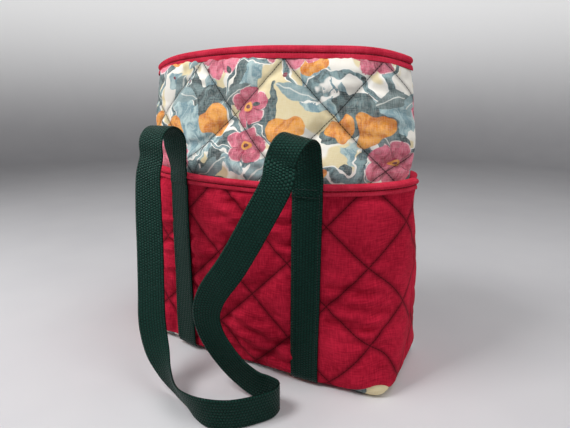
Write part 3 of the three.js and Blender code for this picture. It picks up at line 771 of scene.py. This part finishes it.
def print_cotton(place):
    """Loosely painted blossoms, buds and leaves on cream, a design of this part's own, with painted shade
    beside the quilting lines.
    """
    drift = place.noise(0.045, 2.0).output(1) - (0.5, 0.5, 0.5)
    wander, sway = place + drift * 24, place + drift * 10
    paint = (wander * (1.0, 0.55, 0.0)).noise(0.16, 4.0, 0.65)
    ground = place.noise(0.02, 2.0).step(0.47, 0.5).tint((234, 218, 172), (246, 242, 232))

    wash = wander.noise(0.023, 1.0)
    grey_blue = paint.step(0.35, 0.65).tint((110, 148, 160), (184, 208, 208))
    washed = wash.step(0.52, 0.528).tint(ground, grey_blue)
    deep = (wander + (310.0, 170.0, 0.0)).noise(0.027, 1.0)
    slate = paint.step(0.35, 0.62).tint((48, 68, 72), (100, 124, 126))
    shaded = deep.step(0.57, 0.577).tint(washed, slate)
    stem = abs((wander + (90.0, 40.0, 0.0)).noise(0.016, 1.0) - 0.47)
    white_edge = (1 - stem.step(0.042, 0.048)) * paint.step(0.38, 0.42)
    lined = white_edge.tint(shaded, (250, 247, 240))
    green_grey = paint.step(0.35, 0.65).tint((62, 88, 94), (136, 166, 170))
    stroked = (1 - stem.step(0.026, 0.03)).tint(lined, green_grey)

    x, y, pick, other = scattered(sway, 36.0, (14.0, 9.0, 0.0))
    leaf = (8.0 * (1 - (x / 20.0) ** 2.0) - abs(y)).step(0.0, 0.7) * (pick > 0.45)
    tone = other.step(0.3, 0.7).tint((58, 78, 80), (122, 152, 158))
    leafy = leaf.tint(stroked, (paint * 0.6).tint(tone, (168, 190, 190)))
    rib = leaf * (1 - abs(y).step(0.35, 0.8))
    ribbed = (rib * 0.8).tint(leafy, (228, 230, 222))

    x, y, pick, other = scattered(sway, 52.0, (120.0, 75.0, 0.0))
    turn = y.reckon("ARCTAN2", y, x)
    bud = (14.0 + other * 7.0) * (0.84 + (turn * 3).sine() * 0.16) - (x * x + y * y * 1.5) ** 0.5
    gold = paint.step(0.32, 0.66).tint((214, 118, 22), (248, 172, 70))
    budded = (bud.step(0.0, 0.8) * (pick > 0.32)).tint(ribbed, gold)

    x, y, pick, other = scattered(sway, 58.0, (212.0, 18.0, 0.0))
    reach = (x * x + y * y) ** 0.5
    turn = y.reckon("ARCTAN2", y, x)
    lobe = abs((turn * 2.5).sine())
    petals = (14.0 + other * 13.0) * (0.7 + lobe ** 0.5 * 0.3)
    inside = petals - reach
    shown = pick > 0.3
    blossom = inside.step(0.0, 0.8) * shown
    rose = (paint * 0.9 + reach * 0.016).step(0.4, 0.85).tint((164, 36, 72), (232, 124, 148))
    petal = blossom.tint(budded, rose)
    vein = blossom * (1 - lobe.step(0.06, 0.2)) * reach.step(4.0, 8.0)
    veined = (vein * 0.75 * paint.step(0.4, 0.5)).tint(petal, (126, 18, 50))
    edge = blossom * (1 - inside.step(0.7, 1.7)) * (paint > 0.46)
    edged = edge.tint(veined, (244, 234, 228))
    heart = (4.6 - reach).step(0.0, 0.7) * shown
    hearted = heart.tint(edged, (234, 160, 62))
    dots = (2.1 - reach).step(0.0, 0.5) * shown
    flowered = dots.tint(hearted, (112, 20, 46))

    x, y, pick, other = scattered(sway, 27.0, (8.0, 31.0, 0.0))
    dab = (2.2 + other * 2.2 - (x * x + y * y * 2.6) ** 0.5).step(0.0, 0.6) * (pick > 0.62)
    painted = dab.tint(flowered, other.step(0.4, 0.6).tint((132, 24, 54), (44, 60, 64)))

    threads = slubs(place, 0.9)
    woven = (threads.step(0.3, 0.75) * 0.22).tint(painted, (255, 252, 244))
    near, thread = sewing(place, PRINT_QUILT)
    # painted shade: darker grey in and beside the quilting grooves
    drawn = (near * near * 0.42).tint(woven, (54, 52, 54))
    sewn = (thread * 0.85).tint(drawn, (24, 22, 24))
    return cotton(sewn, 0.9, 0.15, threads, 0.3, 0.5)


def green_webbing(place):
    """Woven tape: ribs along it, each crossed by picks that alternate from rib to rib; its colour has a
    painted highlight on the raised threads and painted shade between them.
    """
    across, along = place.parts()[:2]
    rib = abs((across * (math.pi / RIB)).sine())
    parity = (across * (0.5 / RIB) + 0.5) % 1 > 0.5
    pick = abs(((along * (0.5 / PICK) + parity * 0.5) * math.pi).sine())
    height = rib ** 0.4 * pick ** 0.7
    strands = (place * (3.2, 0.3, 0.0)).noise(1.0, 3.0, 0.65)
    # painted highlight on the raised threads and painted shade in the gaps between them
    weave_highlight_and_shade = (height * (0.5 + strands)).step(0.3, 0.95).tint((0, 5, 4), (22, 55, 46))
    return {
        "Base Color": weave_highlight_and_shade,
        "Roughness": 0.44 - height * strands * 0.25,
        "Specular IOR Level": 0.22,
        "Specular Tint": (0.3, 0.85, 0.68, 1.0),
        "Normal": bumped(height + strands * 0.3, 0.9, 0.6),
    }


def sewing_thread(place, dark, light, roughness):
    """Thread, mottled between two colours."""
    return {"Base Color": place.noise(0.8, 2.0).tint(dark, light), "Roughness": roughness}


def pale_paper(place):
    """Pale paper; up the wall a painted glow, seen only by the camera and in reflections, makes it look
    brighter than its light.
    """
    rays = place.node("LightPath")
    seen = rays.most(rays.output("Is Glossy Ray")).most(rays.output("Is Transmission Ray"))
    high = place.node("NewGeometry").parts()[2].step(0.0, 0.7)
    paper = place.noise(0.01, 2.0).tint((214, 213, 216), (221, 220, 222))
    return {
        "Base Color": high.tint(paper, (140, 140, 142)),
        "Roughness": 0.85,
        "Specular IOR Level": 0.1,
        # painted glow: the wall emits only to camera, reflection and transmission rays, more strongly higher
        # up
        "Emission Color": (seen * high * 0.7).tint((0, 0, 0), (255, 255, 255)),
        "Emission Strength": 1.0,
    }


RED = finish("red_cotton", red_cotton)
PRINT = finish("print_cotton", print_cotton)
BINDING = finish("red_binding", binding_cotton)
LINING = finish("lining_cotton", lining_cotton)
WEBBING = finish("webbing", green_webbing)
THREAD = finish("thread", sewing_thread, (110, 16, 34), (150, 34, 52), 0.7)
STRAP_THREAD = finish("strap_thread", sewing_thread, (8, 26, 22), (22, 52, 44), 0.6)


def grid_of(parts):
    """Separate coordinates as one array of points."""
    return np.stack(np.broadcast_arrays(*parts), -1)


def pocket_panel():
    """Red quilted pocket: puffed outside, plainer behind, sewn flat under the straps and the binding."""
    quilt = RED_QUILT
    runs, run_places = lattice(-POCKET_RUN, POCKET_RUN, quilt, 0)
    rises, rise_places = lattice(POCKET_BOTTOM, POCKET_HEIGHT, quilt, 1)
    run, rise = np.meshgrid(runs, rises)
    across = np.stack([across_for(runs, POCKET_RUN, z, POCKET_STACK) for z in rises])
    share = (rise - POCKET_BOTTOM) / (POCKET_HEIGHT - POCKET_BOTTOM)
    height = pocket_bottom(across) + (pocket_edge(across) - pocket_bottom(across)) * share
    strap = 1 - smooth(*STRAP_FLAT, np.abs(np.abs(run) - STRAP_X))
    bound = smooth(POCKET_HEIGHT - BOUND_FLAT[0], POCKET_HEIGHT - BOUND_FLAT[1], rise)
    sunk = POCKET_SUNK * (1 - np.maximum(strap, bound))
    base = pocket_point(across, height, POCKET_STACK - POCKET_FACE - sunk)
    lines = sewn_lines(rise_places, run_places, quilt["parts"]) & (np.abs(run) < quilt["reach"])
    border = (np.abs(run) > POCKET_RUN - BORDER) | (rise < POCKET_BOTTOM + BORDER)
    outer = quilted(base, run, rise, lines | border | (strap > 0.5) | (bound > 0.5), quilt)
    inner = pocket_point(across, height, POCKET_BACK)
    return shell("front_pocket", outer, inner, grid_of((run, rise)), [RED, LINING])


def body_panel():
    """Printed quilted panel: fine rows where it shows above the pocket, plain rows behind it."""
    quilt = PRINT_QUILT
    levels = np.linspace(POCKET_HEIGHT, BODY_HEIGHT, 400)
    climbed = distance_along(front_point(0, levels, 0))
    runs, run_places = lattice(-BODY_RUN, BODY_RUN, quilt, 0)
    rises, rise_places = lattice(FINE_FROM, climbed[-1], quilt, 1)
    hidden = np.array(HIDDEN_ROWS) - POCKET_HEIGHT
    rises = np.concatenate([hidden, rises])
    rise_places = np.concatenate([np.full(len(hidden), 10 ** 6), rise_places])
    run, rise = np.meshgrid(runs, rises)
    middle = np.where(rises < 0, POCKET_HEIGHT + rises, np.interp(rises, climbed, levels))
    across = np.broadcast_to(across_for(runs, BODY_RUN, SHOULDER, 0), run.shape)
    share = np.maximum(0, middle - POCKET_HEIGHT)[:, None] / (BODY_HEIGHT - POCKET_HEIGHT)
    height = middle[:, None] - (BODY_HEIGHT - rim_height(across)) * share
    bulge = hump(np.abs(across), *BULGE) * (1 - smooth(*BULGE_FADE, height))
    base = body_point(across, height, bulge - PANEL_SUNK)
    lines = sewn_lines(rise_places, run_places, quilt["parts"])
    border = (np.abs(run) > BODY_RUN - BORDER) | (rise < PUFF_FROM) | (rise > climbed[-1] - MOUTH_BINDING)
    outer = quilted(base, run, rise, lines | border, quilt)
    inner = body_point(across, height, -BODY_STACK)
    cloth = grid_of((run, rise))
    cloth[rises < HEM_TOP - POCKET_HEIGHT] += HEM_CUT
    return shell("front_panel", outer, inner, cloth, [PRINT, LINING])


def base_panel():
    """Quilted printed base, with its sewn diamonds underneath."""
    across = np.linspace(-BASE_REACH, BASE_REACH, 73)
    shares = np.linspace(1, -1, 33)
    line = front_point(across, 0.5, -0.6)
    x = np.broadcast_to(line[:, 0], (len(shares), len(across)))
    y = shares[:, None] * -line[:, 1]
    away = line_distance(x, y, PRINT_QUILT)
    edge = smooth(0.8, 1.0, np.abs(shares))[:, None]
    low = 0.1 + BASE_GROOVE * bell(away, BASE_GROOVE_WIDTH) + 0.6 * edge
    bottom, top = grid_of((x, y, low)), grid_of((x, y, BASE_TOP))
    return shell("base_panel", bottom, top, grid_of((x, y)), [PRINT, LINING])


def tape_section(stack, depth):
    """The tape's outside up one face of a panel, over its edge and down the other, as a closed ring."""
    scale = depth / ROLL_HEIGHT
    outside = [(out, up * scale) for out, up in ROLL_OUTSIDE]
    inside = [(-stack - out, up * scale) for out, up in reversed(ROLL_OUTSIDE)]
    under = [(-stack * 0.6, -depth * 0.7), (-stack * 0.4, -depth * 0.7)]
    return np.array(outside + inside + under)


MOUTH_SECTION = tape_section(BODY_STACK, ROLL_HEIGHT)
POCKET_SECTION = tape_section(POCKET_STACK, POCKET_ROLL)


def bound_edge(section, edge, point, outward):
    """Sections of a binding along an edge of the front, from seam to seam."""
    across = np.linspace(-1, 1, TAPE_STATIONS)[:, None]
    rows = point(across, edge(across) + np.minimum(section[:, 1], 0), outward + section[:, 0])
    rows[..., 2] += np.maximum(section[:, 1], 0)
    return rows


def binding(name, rows, section, depth, closed=False):
    """Padded tape folded over an edge; its height on the cloth is that of the tall section."""
    along = distance_along(rows.mean(axis=1))
    uv = grid_of((along[:, None], section[None, :, 1] * ROLL_HEIGHT / depth))
    return build(name, rows, tube_faces(*rows.shape[:2], closed=closed), uv, [BINDING])


def pocket_face(x, height, outward):
    """Depth of the pocket's face at a distance from the middle of the bag."""
    wide, deep, square = np.moveaxis(outline_at(height), -1, 0)
    grow = pocket_standoff(height) + POCKET_STACK + outward - base_tuck(height)
    share = np.abs(x) / (wide + grow)
    return -(deep + grow) * (1 - share ** square) ** (1 / square) * turned_away(x)


def smooth_route(points, steps, power):
    """A curve through points, spaced by a power of the distance between them."""
    points = np.asarray(points, float)
    ends = [2 * points[0] - points[1]], [2 * points[-1] - points[-2]]
    chain = np.concatenate([ends[0], points, ends[1]])
    gaps = np.linalg.norm(np.diff(chain, axis=0), axis=1)[:, None] ** power
    t = np.linspace(0, 1, steps, endpoint=False)[:, None]
    stretches = []
    for i in range(len(points) - 1):
        before, here, there, after = chain[i:i + 4]
        g0, g1, g2 = gaps[i:i + 3]
        leave = g1 * ((here - before) / g0 - (there - before) / (g0 + g1) + (there - here) / g1)
        arrive = g1 * ((there - here) / g1 - (after - here) / (g1 + g2) + (after - there) / g2)
        stretches.append(eased(here, there, leave, arrive, t))
    return np.concatenate(stretches + [points[-1:]])


TAPE_COLUMNS = np.linspace(-0.5, 0.5, RIBS + 1) * WEBBING_WIDTH


def tape_rows(at, width):
    """Points across the tape at each station."""
    return at[:, None, :] + TAPE_COLUMNS[None, :, None] * width[:, None, :]


def leg_rows(middle):
    """Sewn leg, bowed to the pocket's face, then over the binding."""
    edge = pocket_edge(SEWN_ACROSS)
    bound = edge - POCKET_BINDING
    height = np.linspace(LEG_BOTTOM, edge + LEG_OVER_EDGE, LEG_STATIONS)[:, None]
    lift = GAP + (BINDING_CLOTH + GAP) * smooth(bound - 4, bound, height) + WEBBING_THICKNESS / 2
    x = middle + TAPE_COLUMNS[None, :]
    y = pocket_face(x, np.minimum(height, edge), lift)
    return grid_of((x, y, height))


def fold_rows(middle, tilt, radius):
    """The tape's rise above the leg and its half turn: rows, then the middle, width and heading at its end."""
    leg = leg_rows(middle)[-1]
    top = leg[RIBS // 2]
    rise_end = top + (0, -FOLD_LEAN, FOLD_RISE)
    share = np.linspace(0, 1, RISE_STATIONS)[1:, None]
    level = tape_rows(top + (rise_end - top) * share, np.array([[1.0, 0, 0]]))
    bow = (leg - top) * (0, 1, 0)
    rise = level + bow * (1 - smooth(0, 1, share))[..., None]
    axis = np.array([math.cos(tilt), 0, -math.sin(tilt)])
    up = np.array([math.sin(tilt), 0, math.cos(tilt)])
    back = np.array([0, 1.0, 0])
    angle = np.linspace(0, np.pi, TURN_STATIONS)[1:, None]
    outward = np.cos(angle) * back + np.sin(angle) * up
    around = -np.sin(angle) * back + np.cos(angle) * up
    at = rise_end - radius * back + radius * outward - axis * radius * angle * math.tan(tilt)
    width = math.sin(tilt) * around + math.cos(tilt) * axis
    return np.concatenate([rise, tape_rows(at, width)]), at[-1], width[-1], np.cross(width[-1], outward[-1])


def handle():
    """One length of webbing: a sewn leg, a fold, the free loop, a fold and the other leg."""
    ends = {side: fold_rows(side * STRAP_X, FOLD_TILT[side], FOLD_RADIUS[side]) for side in (-1, 1)}
    front = ends[1][1][1]
    lead = {side: [ends[side][1] + ends[side][3] * drop for drop in (GAP, LOOP_LEAD)] for side in ends}
    route = LOOP_ROUTE[:, :3] * (1, -1, 1) + (0, front, 0)
    at = smooth_route([*lead[-1], *route, *lead[1][::-1]], ROUTE_STEPS, 0.5)
    widths = [ends[-1][2]] * 2 + list(LOOP_ROUTE[:, 3:]) + [ends[1][2]] * 2
    width = smooth_route(widths, ROUTE_STEPS, 0)
    along = unit(np.gradient(at, axis=0))
    width = unit(width - along * (width * along).sum(axis=1, keepdims=True))
    loop = tape_rows(at, width)
    right = np.concatenate([leg_rows(STRAP_X), ends[1][0]])[::-1]
    rows = np.concatenate([leg_rows(-STRAP_X), ends[-1][0], loop, right])
    length = distance_along(rows[:, RIBS // 2])
    count = round(length[-1] / PICK)
    even = np.linspace(0, length[-1], count + 1)
    grid = resampled(even, length, rows.reshape(len(rows), -1)).reshape(count + 1, -1, 3)
    normal = facing(grid)
    i, j = np.indices(grid.shape[:2])
    rib = j % 2 == 1
    over = (i + j // 2) % 2 == 0
    thick = WEBBING_THICKNESS / 2 * np.where((j == 0) | (j == RIBS), SELVEDGE, 1.0)
    face = np.where(rib, np.where(over, RIB_OVER, RIB_UNDER), RIB_GROOVE) + thick
    behind = np.where(rib, np.where(over, RIB_UNDER, RIB_OVER), RIB_GROOVE) + thick
    uv = grid_of((TAPE_COLUMNS[None, :], even[:, None]))
    outer, inner = grid + normal * face[..., None], grid - normal * behind[..., None]
    return shell("front_handle_webbing", outer, inner, uv, [WEBBING, WEBBING])


def stitches(name, lines, pitch, radius, material):
    """Sewing thread: a short rounded dash for each stitch along lines of points and facing directions."""
    shape = np.array(STITCH_SHAPE)
    rings = []
    for points, normals in lines:
        length = distance_along(points)
        starts = np.arange(0.5 * pitch, length[-1] - pitch, pitch)
        at = starts[:, None] + shape[None, :, 0] * pitch * STITCH_SHARE
        place, up = resampled(at, length, points), resampled(at, length, normals)
        beside = np.cross(unit(place[:, -1:] - place[:, :1]), up)
        middle = place + up * (shape[:, 1] * radius)[None, :, None]
        size = (shape[:, 2] * radius)[None, :, None, None]
        turn = STITCH_RING[None, None, :, None]
        around = np.cos(turn) * beside[:, :, None] + np.sin(turn) * up[:, :, None]
        rings.append(middle[:, :, None] + size * around)
    rings = np.concatenate(rings)
    count, stations, size = rings.shape[:3]
    faces = [face for k in range(count) for face in tube_faces(stations, size, k * stations * size)]
    uv = rings.reshape(-1, 3)[:, [0, 2]]
    return build(name, rings, faces, uv, [material])


def leg_stitching():
    """Rows of stitches down both edges of each sewn leg, and two across it below the pocket's edge."""
    top = LEG_STATIONS - 8
    edges = [np.s_[3:top, column] for column in (2, RIBS - 2)]
    bars = [np.s_[row, 2:RIBS - 1] for row in (top, top - 6)]
    lines = []
    for middle in (-STRAP_X, STRAP_X):
        rows = leg_rows(middle)
        normal = facing(rows)
        face = rows + normal * (WEBBING_THICKNESS / 2 + STRAP_STITCH_LIFT)
        lines += [(face[place], normal[place]) for place in edges + bars]
    return stitches("front_strap_stitching", lines, *STRAP_STITCH, STRAP_THREAD)


def groove_line(points):
    """A stitching line in a binding's groove, and which way it faces."""
    groove = [up for out, up in ROLL_OUTSIDE].index(GROOVE_UP)
    level = groove - 4
    across = 2 * (len(ROLL_OUTSIDE) - level) - 1
    out = unit(points[:, level] - points[:, level + across])
    return points[:, groove] + out * STITCH_LIFT, out


FLOOR_RINGS = (1, 300, 700, 1100, 1400)
WALL_BEND = 400
WALL_TOP = 2200


def floor_and_wall():
    """Pale round floor that sweeps up into a wall on every side."""
    turn = np.linspace(0, 2 * np.pi, 97)[:-1]
    edge = FLOOR_RINGS[-1]
    bend = np.linspace(0, np.pi / 2, 13)[1:]
    reach = np.concatenate([FLOOR_RINGS, edge + WALL_BEND * np.sin(bend), [edge + WALL_BEND]])
    up = np.concatenate([np.zeros(len(FLOOR_RINGS)), WALL_BEND * (1 - np.cos(bend)), [WALL_TOP]])
    rows = grid_of((np.outer(reach, np.cos(turn)), np.outer(reach, np.sin(turn)), up[:, None]))
    faces = [face[::-1] for face in tube_faces(*rows.shape[:2])[:-1]]
    return build("floor", rows - (0, 0, 0.2), faces, rows[..., :2], [finish("paper", pale_paper)])


def lamp(name, place, aim, size, power):
    """A soft square light."""
    data = bpy.data.lights.new(name, "AREA")
    data.size = size
    data.energy = power
    obj = bpy.data.objects.new(name, data)
    obj.location = place
    obj.rotation_euler = (Vector(aim) - Vector(place)).to_track_quat("-Z", "Y").to_euler()
    scene.collection.objects.link(obj)


CAMERA_PLACE = (0.2096, -0.3866, 0.25)
CAMERA_YAW = math.radians(26.85)
CAMERA_PITCH = math.radians(15.1)
CAMERA_LENS = 29.05


def rounded(obj):
    """Subdivision, applied to the mesh."""
    smoothing = obj.modifiers.new("rounded", "SUBSURF")
    smoothing.levels = 1
    smoothing.render_levels = 1
    seen = obj.evaluated_get(bpy.context.evaluated_depsgraph_get())
    mesh = bpy.data.meshes.new_from_object(seen)
    obj.modifiers.clear()
    old = obj.data
    obj.data = mesh
    bpy.data.meshes.remove(old)
    return obj


def with_back(front, name, shift=0.0):
    """The front piece and its copy on the back, half a turn round; shift moves the print along the cloth."""
    back = bpy.data.objects.new(name, front.data.copy())
    move_points(back.data, points_of(back.data) * (-1, -1, 1))
    scene.collection.objects.link(back)
    if shift:
        layer = back.data.uv_layers["cloth"].data
        uv = np.zeros(len(layer) * 2, np.float32)
        layer.foreach_get("uv", uv)
        uv[::2] += shift
        layer.foreach_set("uv", uv)
    return {"front": front, "back": back}


pockets = with_back(rounded(pocket_panel()), "back_pocket")
panels = with_back(rounded(body_panel()), "back_panel", PRINT_SHIFT)
pocket_rows = bound_edge(POCKET_SECTION, pocket_edge, pocket_point, POCKET_STACK)
pocket_tape = binding("front_pocket_binding_tape", pocket_rows, POCKET_SECTION, POCKET_ROLL)
pocket_tapes = with_back(rounded(pocket_tape), "back_pocket_binding_tape")
mouth_half = bound_edge(MOUTH_SECTION, rim_height, front_point, 0)
mouth_rows = np.concatenate([mouth_half, mouth_half[-2:0:-1] * (1, -1, 1)])
mouth_tape = rounded(binding("mouth_binding_tape", mouth_rows, MOUTH_SECTION, ROLL_HEIGHT, True))
base = rounded(base_panel())
handles = with_back(handle(), "back_handle_webbing")
mouth_thread = stitches("mouth_stitching", [groove_line(mouth_rows)], *BINDING_STITCH, THREAD)
pocket_thread = stitches("front_pocket_stitching", [groove_line(pocket_rows)], *BINDING_STITCH, THREAD)
pocket_threads = with_back(pocket_thread, "back_pocket_stitching")
strap_threads = with_back(leg_stitching(), "back_strap_stitching")
sewn_pieces = (pockets, panels, pocket_tapes, pocket_threads)
for piece in (*(piece for pair in sewn_pieces for piece in pair.values()), mouth_tape, mouth_thread):
    settle(piece)

for side in ("front", "back"):
    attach(panels[side], "bag")
    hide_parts(f"{side}_outer_fabric", f"{side}_batting", f"{side}_lining")
    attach(pockets[side], "bag")
    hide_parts(f"{side}_pocket_outer", f"{side}_pocket_batting", f"{side}_pocket_lining")
    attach(pocket_tapes[side], "bag")
    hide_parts(f"{side}_pocket_binding")
    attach(pocket_threads[side], "bag")
    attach(strap_threads[side], "bag")
    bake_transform(handles[side])
    nodes = [f"{side}_{end}_{piece}" for end in ("left", "right") for piece in ("leg", "bend")]
    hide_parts(f"{side}_handle_loop", *nodes)
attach(mouth_tape, "bag")
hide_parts("mouth_binding")
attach(mouth_thread, "bag")
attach(base, "bag")
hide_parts("base_outer_fabric", "base_batting", "base_lining")

floor_and_wall()
lamp("sky", (0.45, 0.15, 1.1), (0.25, 0, 0), 0.9, 5.5)
lamp("left", (-0.3, -0.44, 0.82), (0, 0, 0.12), 0.3, 4.8)
lamp("side", (-0.93, -0.47, 0.5), (0, 0, 0.12), 0.5, 2.6)
lamp("right", (1.1, -0.3, 0.7), (0.1, 0, 0.05), 0.6, 3)
scene.world = bpy.data.worlds.new("studio")
scene.world.use_nodes = True
sky = next(n for n in scene.world.node_tree.nodes if n.type == "BACKGROUND")
sky.inputs["Color"].default_value = (0.9, 0.9, 0.92, 1)
sky.inputs["Strength"].default_value = 0.1
scene.view_settings.view_transform = "Standard"
camera = bpy.data.objects.new("camera", bpy.data.cameras.new("camera"))
camera.data.lens = CAMERA_LENS
camera.data.sensor_width = 36.0
camera.data.clip_start = 0.01
camera.location = CAMERA_PLACE
camera.rotation_euler = (math.pi / 2 - CAMERA_PITCH, 0, CAMERA_YAW)
scene.collection.objects.link(camera)
scene.camera = camera
